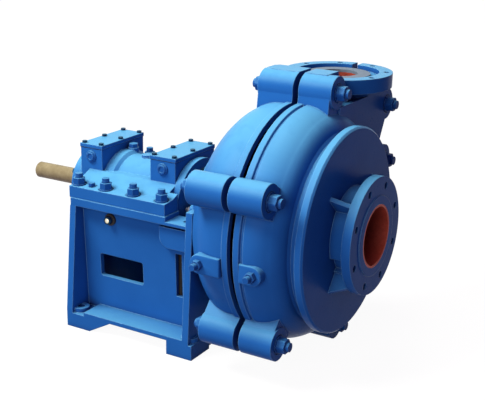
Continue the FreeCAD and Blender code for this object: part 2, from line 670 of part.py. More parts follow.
def make_impeller():
    back = turned([(SHROUD_BACK[0], 0), (SHROUD_BACK[0], IMP_R), (SHROUD_BACK[1], IMP_R),
                   (SHROUD_BACK[1] + 4, 90), (372, 44), (392, 20), (397, 7), (397, 0)])
    eye = BORE_R - 2
    front = turned([(SHROUD_FRONT[0], IMP_R), (SHROUD_FRONT[1], IMP_R), (SHROUD_FRONT[1], eye + 6),
                    (SHROUD_FRONT[1], eye), (SHROUD_FRONT[0] - 6, eye + 2),
                    (SHROUD_FRONT[0] - 2, eye + 20)])
    vanes = []
    for k in range(VANES):
        inner = []
        outer = []
        for j in range(7):
            r = 56.0 + (IMP_R - 57.0) * j / 6.0
            a = math.radians(360.0 * k / VANES - 62.0 * j / 6.0)
            w = math.radians(8.0 - 3.0 * j / 6.0)
            inner.append(V(SHROUD_BACK[1] - 2, r * math.cos(a), ZC + r * math.sin(a)))
            outer.append(V(SHROUD_BACK[1] - 2, r * math.cos(a + w), ZC + r * math.sin(a + w)))
        one = Part.BSplineCurve()
        one.interpolate(inner)
        two = Part.BSplineCurve()
        two.interpolate(outer)
        edges = [one.toShape(), Part.makeLine(inner[-1], outer[-1]), two.toShape(),
                 Part.makeLine(outer[0], inner[0])]
        wire = Part.Wire(Part.__sortEdges__(edges))
        vanes.append(Part.Face(wire).extrude(V(SHROUD_FRONT[0] - SHROUD_BACK[1] + 3, 0, 0)))
    ribs = []
    for k in range(6):
        rib = block(SHROUD_BACK[0] - 3, SHROUD_BACK[0] + 1, 70, IMP_R - 6, ZC - 5, ZC + 5)
        ribs.append(rib.rotate(V(0, 0, ZC), X_AXIS, 60.0 * k))
    hub = cyl(44.0, SHROUD_BACK[0] - 6, SHROUD_BACK[0] + 2)
    body = join([back, front] + vanes + ribs + [hub])
    return body.cut(cyl(THREAD_R + SEAT, 300, 376))


# ---------------------------------------------------------------- shaft line
def make_shaft():
    steps = ((SHAFT_END_X, -338.0, SHAFT_END_R), (-338.0, -240.0, 30.0), (-240.0, 64.0, INNER_R[0]),
             (64.0, 316.0, SLEEVE_CORE_R), (316.0, 374.0, THREAD_R))
    shaft = join([cyl(r, a, b) for a, b, r in steps] + [cyl(41.0, -180.0, 8.0)])
    tip = turned([(SHAFT_END_X - 1, SHAFT_END_R - 3), (SHAFT_END_X - 1, 40), (SHAFT_END_X + 3, 40),
                  (SHAFT_END_X + 3, SHAFT_END_R)])
    shaft = shaft.cut(tip)
    x0 = SHAFT_END_X + KEY_START
    x1 = x0 + KEY_LEN
    z0 = ZC - SHAFT_END_R - 1
    z1 = ZC - SHAFT_END_R + KEY_DEPTH
    slot = block(x0 + KEY_W / 2, x1 - KEY_W / 2, -KEY_W / 2, KEY_W / 2, z0, z1)
    ends = [vcyl(KEY_W / 2, z0, z1, x, 0) for x in (x0 + KEY_W / 2, x1 - KEY_W / 2)]
    keyway = join([slot] + ends)
    keyway.rotate(V(0, 0, ZC), X_AXIS, KEY_TURN)
    return shaft.cut(keyway)


def make_gland():
    x0, x1 = GLAND_X
    disc = cyl(66.0, x0, x1)
    ears = []
    for s in (-1, 1):
        ears.append(cyl(18.0, x0, x1, s * GLAND_STUD_Y))
        y0, y1 = sorted((s * 40.0, s * GLAND_STUD_Y))
        ears.append(block(x0, x1, y0, y1, ZC - 18, ZC + 18))
    nose = cyl(PACK_R - FIT, x1 - 1, BOX_FACE_X + 14)
    body = join([disc] + ears + [nose]).cut(cyl(SLEEVE_R + 0.6, x0 - 1, BOX_FACE_X + 20))
    for s in (-1, 1):
        body = body.cut(cyl(GLAND_STUD_R + HOLE, x0 - 1, x1 + 1, s * GLAND_STUD_Y))
    return body


def make_stuffing_box():
    barrel = cyl(68.0, BOX_FACE_X, 222.0)
    flange = cyl(112.0, 204.0, 222.0)
    ears = [cyl(18.0, BOX_FACE_X, BOX_FACE_X + 30, s * GLAND_STUD_Y) for s in (-1, 1)]
    arms = [block(BOX_FACE_X, BOX_FACE_X + 30, -GLAND_STUD_Y, GLAND_STUD_Y, ZC - 18, ZC + 18)]
    body = join([barrel, flange] + ears + arms)
    cuts = [cyl(PACK_R, BOX_FACE_X - 1, 206.0), cyl(SLEEVE_R + 1.2, 200, 260)]
    for s in (-1, 1):
        cuts.append(cyl(GLAND_STUD_R + SEAT, BOX_FACE_X - 1, BOX_FACE_X + 26, s * GLAND_STUD_Y))
    cuts.append(vcyl(7.0, ZC + 50, ZC + 80, 178.0, 0))
    return remove(body, cuts)


# ---------------------------------------------------------------- build
def main():
    save("base_frame", make_base())
    save("frame_plate", make_half(True))
    save("cover_plate", make_half(False))
    liner_rear, liner_front = make_liners()
    save("volute_liner_rear", liner_rear)
    save("volute_liner_front", liner_front)
    back, bush = make_side_liners()
    save("rear_side_liner", back)
    save("throat_bush", bush)

    bolts, nuts, washers = [], [], []
    seat_rear = BOSS_X[0] + POCKET_T
    seat_front = BOSS_X[1] - POCKET_T
    reach = WASHER_T + NUT_H
    for y, z in BOSS_YZ:
        bolts.append(cyl(TIE_R, seat_rear - reach - TIE_PROUD, seat_front + reach + TIE_PROUD, y, z))
        washers.append(tube(TIE_R + SEAT, TIE_WASHER_R, seat_rear - WASHER_T, seat_rear, y, z))
        washers.append(tube(TIE_R + SEAT, TIE_WASHER_R, seat_front, seat_front + WASHER_T, y, z))
        for x0 in (seat_rear - reach, seat_front + WASHER_T):
            nuts.append(nut_x(36.0, TIE_R + SEAT, x0, x0 + NUT_H, y, z))
    save("tie_bolts", bolts)
    save("tie_nuts", nuts)
    save("tie_washers", washers)

    studs, stud_nuts = [], []
    for y, z in ring_points(STUD_COUNT, STUD_PCD):
        seat = ADAPTER_X - PLATE_T
        studs.append(cyl(STUD_R, seat - 24, ADAPTER_X + 18, y, ZC + z))
        stud_nuts.append(nut_x(24.0, STUD_R + SEAT, seat - 14, seat, y, ZC + z))
    save("adapter_studs", studs)
    save("adapter_nuts", stud_nuts)

    locks, lock_nuts = [], []
    for x in LOCK_X:
        locks.append(ycyl(8.0, -RIM_R - 34, -RIM_R + 48, x, LOCK_Z))
        pts = [(x + a, LOCK_Z + b) for a, b in hexagon(14.0)]
        nut = prism_y(pts, -RIM_R - 4 - 14, -RIM_R - 4)
        lock_nuts.append(nut.cut(ycyl(8.0 + SEAT, -400, -200, x, LOCK_Z)))
    save("lining_studs", locks)
    save("lining_nuts", lock_nuts)

    save("stuffing_box", make_stuffing_box())
    neck = tube(SLEEVE_R + 0.6, PACK_R - SEAT, 200.0, 206.0)
    save("neck_ring", neck)
    x = 200.0
    packs = []
    for k in range(2):
        packs.append(tube(SLEEVE_R + FIT, PACK_R - SEAT, x - PACK_W + FIT, x))
        x -= PACK_W
    save("lantern_ring", tube(SLEEVE_R + 0.6, PACK_R - SEAT, x - 10.0, x))
    x -= 10.0
    packs.append(tube(SLEEVE_R + FIT, PACK_R - SEAT, x - PACK_W, x))
    save("packing_rings", packs)
    gland_studs = [cyl(GLAND_STUD_R, 103.0, BOX_FACE_X + 25, s * GLAND_STUD_Y) for s in (-1, 1)]
    save("gland_studs", gland_studs)
    save("gland", make_gland())
    save("gland_nuts", [nut_x(19.0, GLAND_STUD_R + SEAT + 0.1, GLAND_X[0] - 10, GLAND_X[0],
                              s * GLAND_STUD_Y, ZC) for s in (-1, 1)])

    floor = DIS_Z - DIS_RECESS_T
    dis_ring = vcyl(JOINT_R, floor, floor + JOINT_T, GAP_C, DIS_Y)
    save("discharge_joint", dis_ring.cut(vcyl(DIS_BORE_R, floor - 1, DIS_Z, GAP_C, DIS_Y)))

    save("bearing_housing", make_housing())
    for name, (x0, x1) in zip(("lid_drive", "lid_wet"), BOX_X):
        save(name, make_lid(x0, x1))
    save("lid_bolts", [b for x0, x1 in BOX_X for b in lid_bolts(x0, x1)])
    plugs = []
    for x0, x1 in BOX_X:
        x = (x0 + x1) / 2.0
        plugs.append(ycyl(13.0, -BOX_HALF_Y - 7, -BOX_HALF_Y, x, 470.0))
    save("box_plugs", plugs)
    save("end_cover_drive", end_cover(BARREL_X[0], -1, BARREL_R, 30.0 + FIT + 8))
    save("end_cover_wet", end_cover(BARREL_X[1], 1, COVER_R, SLEEVE_CORE_R + FIT + 8))
    heads = []
    for x, s in ((BARREL_X[0], -1), (BARREL_X[1], 1)):
        for y, z in ring_points(6, COVER_PCD, 30):
            a, b = sorted((x + s * COVER_T, x + s * (COVER_T + 7)))
            heads.append(nut_x(17.0, 0, a, b, y, ZC + z))
    save("cover_bolts", heads)
    for name, center in zip(("drive", "wet"), BRG_X):
        outer, rollers, cage, inner = bearing(center)
        save("bearing_outer_" + name, outer)
        save("rollers_" + name, rollers)
        save("cage_" + name, cage)
        save("bearing_inner_" + name, inner)
    hold, hold_nuts, hold_washers = [], [], []
    for x in HOLD_X:
        for y in (-HOLD_Y, HOLD_Y):
            hold.append(vcyl(HOLD_R, SEAT_Z - RAIL_T, FLANGE_Z + 34, x, y))
            hold_washers.append(vcyl(WASHER_R, FLANGE_Z + 0.2, FLANGE_Z + 4, x, y).cut(
                vcyl(HOLD_R + SEAT, FLANGE_Z - 1, FLANGE_Z + 5, x, y)))
            hold_nuts.append(nut_z(30.0, HOLD_R + SEAT, FLANGE_Z + 4, FLANGE_Z + 21, x, y))
    save("hold_down_studs", hold)
    save("hold_down_nuts", hold_nuts)
    save("hold_down_washers", hold_washers)
    screw_z = SEAT_Z - RAIL_T / 2
    screw = cyl(8.0, RAIL_X[0] - 22, RAIL_X[0] + 28, SCREW_Y, screw_z)
    head = nut_x(24.0, 0, RAIL_X[0] - 30, RAIL_X[0] - 20, SCREW_Y, screw_z)
    save("adjusting_screw", screw.fuse(head).removeSplitter())
    drain = ycyl(9.0, -WALL_Y_TOP - 4, -WALL_Y_TOP + 20, DRAIN_X, DRAIN_Z)
    pts = [(DRAIN_X + a, DRAIN_Z + b) for a, b in hexagon(12.0)]
    drain = drain.fuse(prism_y(pts, -WALL_Y_TOP - 16, -WALL_Y_TOP - 3)).removeSplitter()
    save("drain_plug", drain)
    lift = ZC + BARREL_R + FILLER_LIFT
    save("filler_cap", nut_z(24.0, 0, lift, lift + 11, FILLER_X, FILLER_Y))
    top = ZC + BARREL_R + 2
    save("vent_flange", vcyl(VENT_R - 1, top, top + 5, VENT_X, 0))
    guides = []
    for y in (-HOLD_Y, HOLD_Y):
        head = nut_z(17.0, 0, FLANGE_Z + 3, FLANGE_Z + 13, GUIDE_X, y)
        guides.append(head.fuse(vcyl(5.0, FLANGE_Z - 14, FLANGE_Z + 4, GUIDE_X, y)).removeSplitter())
    save("guide_bolts", guides)

    save("shaft", make_shaft())
    save("impeller", make_impeller())
    save("shaft_sleeve", tube(SLEEVE_CORE_R + SEAT, SLEEVE_R, LABYRINTH_X[1], 260.0))
    save("shaft_spacer", tube(SLEEVE_CORE_R + SEAT, SLEEVE_R + 2, 260.0, SHROUD_BACK[0] - 6))
    save("labyrinth_wet", tube(SLEEVE_CORE_R + SEAT, 54.0, LABYRINTH_X[0], LABYRINTH_X[1]))
    save("lock_nut", tube(30.0 + SEAT, 46.0, -250.0, -240.0))


main()
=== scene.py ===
"""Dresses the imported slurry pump: finishes, fine castings, fasteners, floor, light and camera."""

import json
import logging
import math
from dataclasses import dataclass, field
from enum import Enum
from typing import Any, Optional, Sequence, Union

import bmesh
import bpy
from mathutils import Matrix, Vector


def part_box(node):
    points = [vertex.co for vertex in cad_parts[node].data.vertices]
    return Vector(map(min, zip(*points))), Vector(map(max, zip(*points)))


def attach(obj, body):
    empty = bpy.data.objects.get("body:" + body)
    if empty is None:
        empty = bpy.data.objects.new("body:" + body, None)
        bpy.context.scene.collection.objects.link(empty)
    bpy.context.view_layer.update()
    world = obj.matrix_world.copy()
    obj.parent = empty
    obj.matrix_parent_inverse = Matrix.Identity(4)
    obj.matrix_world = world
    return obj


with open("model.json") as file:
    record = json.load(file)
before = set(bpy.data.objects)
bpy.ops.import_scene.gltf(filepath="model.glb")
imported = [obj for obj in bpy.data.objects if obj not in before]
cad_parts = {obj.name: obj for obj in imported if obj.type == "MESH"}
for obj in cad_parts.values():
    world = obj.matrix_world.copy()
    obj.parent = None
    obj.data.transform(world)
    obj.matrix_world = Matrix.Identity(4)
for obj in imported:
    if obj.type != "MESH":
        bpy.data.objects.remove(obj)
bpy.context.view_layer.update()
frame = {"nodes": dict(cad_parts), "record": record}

LOG = logging.getLogger("slurry_pump")
MM = 0.001

CREVICE_RANGE = (0.22, 0.85)  # share of the sky hidden, where painted shade starts and where it is full
SHARP_ANGLE = math.radians(38.0)

Link = Union["Val", float, Sequence[float]]


# ------------------------------------------------------------------ shader kit
class Val:
    """A shader socket that can be used in Python arithmetic."""

    def __init__(self, tree: "Tree", socket: bpy.types.NodeSocket) -> None:
        """Wraps one output socket of a tree."""
        self.tree = tree
        self.socket = socket

    def _math(self, operation: str, *values: Link) -> "Val":
        """Adds one Math node."""
        return self.tree.node("ShaderNodeMath", {"operation": operation}, list(values))

    def __add__(self, other: Link) -> "Val":
        """Sum."""
        return self._math("ADD", self, other)

    __radd__ = __add__

    def __mul__(self, other: Link) -> "Val":
        """Product."""
        return self._math("MULTIPLY", self, other)

    __rmul__ = __mul__

    def __sub__(self, other: Link) -> "Val":
        """Difference."""
        return self._math("SUBTRACT", self, other)

    def __rsub__(self, other: Link) -> "Val":
        """Reflected difference."""
        return self._math("SUBTRACT", other, self)

    def clamp(self, low: float = 0.0, high: float = 1.0) -> "Val":
        """Limits the value to a range."""
        return self._math("MINIMUM", self._math("MAXIMUM", self, low), high)

    def ramp(self, low: float, high: float) -> "Val":
        """Maps low..high to 0..1 with soft ends.

        Args:
            low: The value that becomes 0.
            high: The value that becomes 1.

        Returns:
            The mapped value.
        """
        settings = {"interpolation_type": "SMOOTHSTEP"}
        return self.tree.node("ShaderNodeMapRange", settings, [self, low, high, 0.0, 1.0])


class Tree:
    """The node tree of one material or of the world."""

    def __init__(self, owner: Union[bpy.types.Material, bpy.types.World]) -> None:
        """Empties the owner's node tree.

        Args:
            owner: The material or world that the tree belongs to.
        """
        owner.use_nodes = True
        self.owner = owner
        self.nodes = owner.node_tree.nodes
        self.links = owner.node_tree.links
        self.nodes.clear()

    def node(self, kind: str, settings: Optional[dict[str, Any]] = None,
             inputs: Union[Sequence[Any], dict[Any, Any], None] = None, output: Any = 0) -> Val:
        """Adds any node.

        Args:
            kind: The node's type name.
            settings: Attributes set on the node first.
            inputs: Values or links by position, or by socket name.
            output: The output socket wanted, by position or name.

        Returns:
            The wrapped output socket.
        """
        made = self.nodes.new(kind)
        for key, value in (settings or {}).items():
            setattr(made, key, value)
        pairs = inputs.items() if isinstance(inputs, dict) else enumerate(inputs or [])
        for key, value in pairs:
            if value is None:
                continue
            if isinstance(value, Val):
                self.links.new(value.socket, made.inputs[key])
            else:
                made.inputs[key].default_value = value
        return Val(self, made.outputs[output])

    def place(self) -> Val:
        """Object coordinates."""
        return self.node("ShaderNodeTexCoord", output="Object")

    def noise(self, scale: float, detail: float = 4.0, roughness: float = 0.55,
              vector: Optional[Val] = None) -> Val:
        """Fractal noise, 0..1.

        Args:
            scale: Grains to the metre, roughly.
            detail: Number of finer layers.
            roughness: Strength of each finer layer.
            vector: Where it is read, or None for Object coordinates.

        Returns:
            The noise.
        """
        inputs = {"Vector": vector or self.place(), "Scale": scale, "Detail": detail,
                  "Roughness": roughness}
        return self.node("ShaderNodeTexNoise", None, inputs)

    def mix(self, factor: Link, one: Link, two: Link) -> Val:
        """Mixes two colours."""
        settings = {"data_type": "RGBA"}
        return self.node("ShaderNodeMix", settings, {0: factor, 6: one, 7: two}, output=2)

    def bump(self, height: Val, strength: float, distance: float,
             normal: Optional[Val] = None) -> Val:
        """Turns a height into a normal.

        Args:
            height: The height, 0..1.
            strength: How much of it shows.
            distance: Height in metres of a full step.
            normal: The normal that it is laid on.

        Returns:
            The bent normal.
        """
        inputs = {"Strength": strength, "Distance": distance, "Height": height, "Normal": normal}
        return self.node("ShaderNodeBump", None, inputs)

    def rounded(self, radius: float) -> Val:
        """A normal that softens hard edges."""
        return self.node("ShaderNodeBevel", {"samples": 4}, {"Radius": radius})

    def edge_mask(self, soft: Val, low: float, high: float) -> Val:
        """Where a softened normal leaves the true one, 0..1.

        Args:
            soft: The softened normal.
            low: Difference that counts as no edge.
            high: Difference that counts as a full edge.

        Returns:
            The mask.
        """
        true = self.node("ShaderNodeNewGeometry", output="Normal")
        agree = self.node("ShaderNodeVectorMath", {"operation": "DOT_PRODUCT"}, [soft, true],
                          output="Value")
        return (1.0 - agree).ramp(low, high)

    def crevice(self, shade_reach: float) -> Val:
        """Where the surroundings hide the sky, 1 deep in a corner: the mask of painted shade.

        Args:
            shade_reach: How far a neighbouring surface counts, in metres.

        Returns:
            The mask.
        """
        inputs = {"Distance": shade_reach}
        open_sky = self.node("ShaderNodeAmbientOcclusion", {"samples": 6}, inputs, output="AO")
        return (1.0 - open_sky).ramp(*CREVICE_RANGE)

    def upward(self, normal: Val) -> Val:
        """How far a normal points up, 1 for straight up."""
        return self.node("ShaderNodeSeparateXYZ", None, [normal], output="Z")

    def surface(self, **sockets: Any) -> bpy.types.Material:
        """Finishes the material with a principled surface.

        Args:
            sockets: Principled inputs, with underscores for spaces.

        Returns:
            The finished material.
        """
        inputs = {key.replace("_", " "): value for key, value in sockets.items()}
        self.finish(self.node("ShaderNodeBsdfPrincipled", None, inputs))
        return self.owner

    def finish(self, shader: Val, kind: str = "ShaderNodeOutputMaterial") -> None:
        """Joins a shader to the owner's output."""
        out = self.nodes.new(kind)
        self.links.new(shader.socket, out.inputs["Surface"])


# ------------------------------------------------------------------ finishes
Colour = tuple[float, float, float, float]


@dataclass(frozen=True)
class Enamel:
    """Enamel sprayed over a sand casting: painted highlight on edges, painted light facing up,
    painted shade in corners.
    """

    name: str
    colour: Colour
    deep: Colour
    # Colour of the painted highlight along edges.
    edge_highlight: Colour
    # Colour of the painted light on up-facing surfaces.
    top_light: Colour = (0.115, 0.400, 0.620, 1)
    # Colour of the painted shade in corners and recesses.
    corner_shade: Colour = (0.012, 0.010, 0.060, 1)
    top_light_share: float = 0.72
    grain: float = 0.30
    edge: float = 3.4 * MM
    shade_reach: float = 32.0 * MM
    top_shade_reach: float = 240.0 * MM
    top_shade_share: float = 0.85
    corner_shade_share: float = 0.75
    edge_highlight_share: float = 0.8
    roughness: float = 0.30
    edge_range: tuple[float, float] = (0.02, 0.22)
    facing_range: tuple[float, float] = (0.15, 1.0)
    index: float = 1.46
    gloss: float = 0.02

    def make(self) -> bpy.types.Material:
        """Builds the material."""
        tree = Tree(bpy.data.materials.new(self.name))
        broad = tree.noise(6.0, 3.0)
        runs = tree.noise(38.0, 3.0)
        skin = tree.noise(420.0, 3.0)
        peel = tree.noise(150.0, 2.0)
        soft = tree.rounded(self.edge)
        # Painted highlight: edges are mixed towards a paler blue where they would catch light.
        edge_highlight_mask = tree.edge_mask(soft, *self.edge_range) * (runs * 0.8 + 0.40).clamp()
        tone = tree.mix((broad * 1.5 - 0.3).clamp(), self.deep, self.colour)
        # Painted light: faces that point up are mixed towards a pale cyan, and painted shade takes
        # it back where neighbouring surfaces hide the sky.
        top_light_open = 1.0 - tree.crevice(self.top_shade_reach) * self.top_shade_share
        facing = tree.upward(soft).ramp(*self.facing_range)
        top_lit_mask = facing * (broad * 0.5 + runs * 0.4 + 0.55).clamp() * top_light_open
        # film holds the enamel with the painted top light laid over it.
        film = tree.mix(top_lit_mask * self.top_light_share, tone, self.top_light)
        # Painted shade: corners, creases and recesses are mixed towards a deep violet navy.
        corner_shade_mask = tree.crevice(self.shade_reach) * (runs * 0.5 + 0.7).clamp()
        corner_shaded = tree.mix(corner_shade_mask * self.corner_shade_share, film, self.corner_shade)
        colour = tree.mix(edge_highlight_mask * self.edge_highlight_share, corner_shaded, self.edge_highlight)
        rough = (peel * 0.16 + runs * 0.10 + (self.roughness - 0.12)).clamp(0.05, 1.0)
        normal = tree.bump(skin * 0.35 + peel + runs * 0.8, self.grain, 0.5 * MM, soft)
        return tree.surface(Base_Color=colour, Roughness=rough, Normal=normal, IOR=self.index,
                            Specular_IOR_Level=self.gloss)


@dataclass(frozen=True)
class Metal:
    """Bare machined or ground metal."""

    name: str
    colour: Colour
    roughness: float
    edge: float = 0.5 * MM
    grain: float = 0.08
    spread: float = 0.18

    def make(self) -> bpy.types.Material:
        """Builds the material."""
        tree = Tree(bpy.data.materials.new(self.name))
        fine = tree.noise(600.0, 2.0)
        rough = (fine * self.spread + (self.roughness - self.spread / 2)).clamp(0.04, 1.0)
        normal = tree.bump(fine, self.grain, 0.1 * MM, tree.rounded(self.edge))
        return tree.surface(Base_Color=self.colour, Metallic=1.0, Roughness=rough, Normal=normal)


@dataclass(frozen=True)
class Dull:
    """Matt non-metal such as elastomer, packing or a waxy film."""

    name: str
    colour: Colour
    dark: Colour
    roughness: float
    grain: float = 0.2
    scale: float = 90.0
    shade: Colour = (0.010, 0.007, 0.006, 1)
    shade_reach: float = 90.0 * MM
    shaded: float = 0.9
    gloss: float = 0.2

    def make(self) -> bpy.types.Material:
        """Builds the material."""
        tree = Tree(bpy.data.materials.new(self.name))
        patch = tree.noise(self.scale, 4.0)
        tone = tree.mix((patch * 1.6 - 0.4).clamp(), self.dark, self.colour)
        # Painted shade: the colour is mixed towards the shade colour in corners, hollows and bores.
        colour = tree.mix(tree.crevice(self.shade_reach) * self.shaded, tone, self.shade)
        normal = tree.bump(patch, self.grain, 0.6 * MM, tree.rounded(1.0 * MM))
        return tree.surface(Base_Color=colour, Roughness=self.roughness, Normal=normal,
                            Specular_IOR_Level=self.gloss)


BLUE = Enamel("blue_enamel", (0.018, 0.128, 0.410, 1), (0.013, 0.098, 0.335, 1),
              (0.200, 0.470, 0.720, 1), grain=0.45)
BOLT_BLUE = Enamel("bolt_enamel", (0.014, 0.095, 0.330, 1), (0.010, 0.070, 0.260, 1),
                   (0.190, 0.400, 0.640, 1), grain=0.15, edge=1.1 * MM, top_light_share=0.45)
FINISHES: dict[str, Any] = {
    "blue_enamel": BLUE,
    "bolt_steel": BOLT_BLUE,
    "machined_steel": Metal("machined_steel", (0.58, 0.58, 0.60, 1), 0.34),
    "bearing_steel": Metal("bearing_steel", (0.72, 0.72, 0.74, 1), 0.16),
    "shaft_steel": Dull("shaft_film", (0.30, 0.255, 0.150, 1), (0.17, 0.135, 0.070, 1), 0.26,
                        grain=0.08, scale=40.0, shade_reach=25.0 * MM, gloss=0.08),
    # The long reach paints shade deep inside the lined bores.
    "red_lining": Dull("red_lining", (0.64, 0.105, 0.055, 1), (0.46, 0.065, 0.035, 1), 0.5,
                       shade_reach=170.0 * MM),
    "white_iron": Dull("white_iron", (0.24, 0.23, 0.22, 1), (0.17, 0.165, 0.16, 1), 0.55,
                       grain=0.3),
    "packing": Dull("packing", (0.07, 0.065, 0.055, 1), (0.03, 0.03, 0.028, 1), 0.8,
                    grain=0.5, scale=260.0),
    "brass": Metal("brass", (0.80, 0.74, 0.56, 1), 0.30),
    "cage_brass": Metal("cage_brass", (0.70, 0.50, 0.20, 1), 0.32),
    "joint_rubber": Dull("joint_rubber", (0.16, 0.21, 0.27, 1), (0.11, 0.15, 0.20, 1), 0.6),
}


# ------------------------------------------------------------------ dressing the frame
BLACKED = Enamel("blacked_bolt", (0.010, 0.045, 0.090, 1), (0.006, 0.025, 0.060, 1),
                 (0.080, 0.160, 0.240, 1), grain=0.12, edge=0.8 * MM, top_light_share=0.15)
# Black rubber of the leak-off hose, made near-black so that the slot in the base shows painted
# shade.
HOSE_RUBBER_AND_SLOT_SHADE = Dull("hose_rubber_and_slot_shade", (0.014, 0.013, 0.014, 1), (0.008, 0.008, 0.009, 1), 0.6)
OWN_FINISH: dict[str, Enamel] = {"lid_bolts": BLACKED, "cover_bolts": BLACKED,
                                 "drain_plug": BLACKED}


@dataclass
class CadDressing:
    """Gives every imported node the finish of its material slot."""

    made: dict[str, bpy.types.Material] = field(default_factory=dict)

    def finish(self, slot: str) -> bpy.types.Material:
        """Gives the material of one slot, made once.

        Args:
            slot: Name of the slot.

        Returns:
            Its material.
        """
        if slot not in self.made:
            self.made[slot] = FINISHES[slot].make()
        return self.made[slot]

    def dress(self) -> None:
        """Assigns the finishes."""
        slots = {row["node"]: row["material_slot"] for row in frame["record"]["subparts"]}
        own = {name: finish.make() for name, finish in OWN_FINISH.items()}
        for name, obj in frame["nodes"].items():
            material = own.get(name) or self.finish(slots[name])
            obj.data.materials.clear()
            obj.data.materials.append(material)
        LOG.info("dressed %d packed nodes", len(frame["nodes"]))


# ------------------------------------------------------------------ mesh kit
class Axis(Enum):
    """Direction along which a round piece lies."""

    X = 0
    Y = 1
    Z = 2

    @property
    def along(self) -> Vector:
        """Unit vector of the axis."""
        return Vector([1.0 if k == self.value else 0.0 for k in range(3)])

    @property
    def across(self) -> Vector:
        """A unit vector at right angles to the axis."""
        return Vector((0.0, 0.0, 1.0)) if self is not Axis.Z else Vector((1.0, 0.0, 0.0))


@dataclass(frozen=True)
class Block:
    """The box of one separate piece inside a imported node."""

    low: Vector
    high: Vector

    @property
    def middle(self) -> Vector:
        """Its centre."""
        return (self.low + self.high) / 2

    def end(self, axis: Axis, side: int) -> Vector:
        """The centre of its face on one side.

        Args:
            axis: The axis that the face lies across.
            side: -1 for the lower face, 1 for the upper.

        Returns:
            The point.
        """
        spot = self.middle
        spot[axis.value] = self.high[axis.value] if side > 0 else self.low[axis.value]
        return spot

    def width(self, axis: Axis) -> float:
        """Smaller width across an axis."""
        size = self.high - self.low
        return min(size[k] for k in range(3) if k != axis.value)


def separate(node: str) -> list[Block]:
    """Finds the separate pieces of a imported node.

    Args:
        node: The node's name.

    Returns:
        One box for each piece, in the order of their lowest corners along X.
    """
    mesh = bmesh.new()
    mesh.from_mesh(frame["nodes"][node].data)
    bmesh.ops.remove_doubles(mesh, verts=mesh.verts, dist=0.001 * MM)
    left = set(mesh.verts)
    found = []
    while left:
        front, group = [left.pop()], []
        while front:
            vert = front.pop()
            group.append(vert.co.copy())
            near = {link.other_vert(vert) for link in vert.link_edges} & left
            left -= near
            front.extend(near)
        low, high = (Vector([pick(co[k] for co in group) for k in range(3)]) for pick in (min, max))
        found.append(Block(low, high))
    mesh.free()
    return sorted(found, key=lambda block: tuple(block.low))


@dataclass(frozen=True)
class Ridge:
    """Section of a thread's ridge: its foot in metres, the rest as shares of the pitch."""

    sink: float = 0.1 * MM
    rise: float = 0.16
    crest: float = 0.45
    end: float = 0.9
    steps: int = 18


class Piece:
    """A new mesh that rides on one body."""

    ridge = Ridge()

    def __init__(self, name: str, body: str, slot: str) -> None:
        """Starts an empty piece.

        Args:
            name: Name of the piece.
            body: The body that it rides on.
            slot: Name of a material slot; kept on the piece, not used.
        """
        self.name = name
        self.body = body
        self.slot = slot
        self.mesh = bmesh.new()

    def turned(self, axis: Axis, centre: Vector, profile: Sequence[tuple[float, float]],
               steps: int = 40) -> None:
        """Turns a profile into a ring or a cap.

        Args:
            axis: The axis of turning.
            centre: A point on it, where the profile's distance is 0.
            profile: Radius and distance along the axis, in order.
            steps: Number of facets round the axis.
        """
        verts = [self.mesh.verts.new(centre + axis.across * radius + axis.along * away)
                 for radius, away in profile]
        edges = [self.mesh.edges.new(pair) for pair in zip(verts, verts[1:])]
        bmesh.ops.spin(self.mesh, geom=verts + edges, cent=centre, axis=axis.along,
                       angle=math.tau, steps=steps, use_merge=True)

    def thread(self, axis: Axis, start: Vector, length: float, radius: float, pitch: float,
               side: int) -> None:
        """Winds the ridge of a screw thread.

        Args:
            axis: The screw's axis.
            start: Where the thread begins, on the axis.
            length: How far it runs.
            radius: Outer radius of the plain screw.
            pitch: Distance between turns.
            side: 1 to run along the axis, -1 against it.
        """
        turns = max(1, int((length - pitch) / pitch))
        steps = turns * self.ridge.steps
        section = ((-self.ridge.sink, 0.0),
                   (self.ridge.rise * pitch, self.ridge.crest * pitch),
                   (-self.ridge.sink, self.ridge.end * pitch))
        verts = [self.mesh.verts.new(start + axis.across * (radius + out)
                                     + axis.along * (side * away)) for out, away in section]
        edges = [self.mesh.edges.new(pair) for pair in zip(verts, verts[1:])]
        bmesh.ops.spin(self.mesh, geom=verts + edges, cent=start, axis=axis.along,
                       angle=math.tau * turns, steps=steps,
                       dvec=axis.along * (side * pitch * turns / steps))

    def place(self, material: bpy.types.Material) -> None:
        """Makes the object, riding on its body.

        Args:
            material: Its finish.
        """
        bmesh.ops.remove_doubles(self.mesh, verts=self.mesh.verts, dist=0.002 * MM)
        bmesh.ops.recalc_face_normals(self.mesh, faces=self.mesh.faces)
        data = bpy.data.meshes.new(self.name)
        self.mesh.to_mesh(data)
        self.mesh.free()
        data.polygons.foreach_set("use_smooth", [True] * len(data.polygons))
        data.set_sharp_from_angle(angle=SHARP_ANGLE)
        data.materials.append(material)
        obj = bpy.data.objects.new(self.name, data)
        bpy.context.scene.collection.objects.link(obj)
        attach(obj, self.body)
        LOG.info("%s: %d faces on %s", self.name, len(data.polygons), self.body)


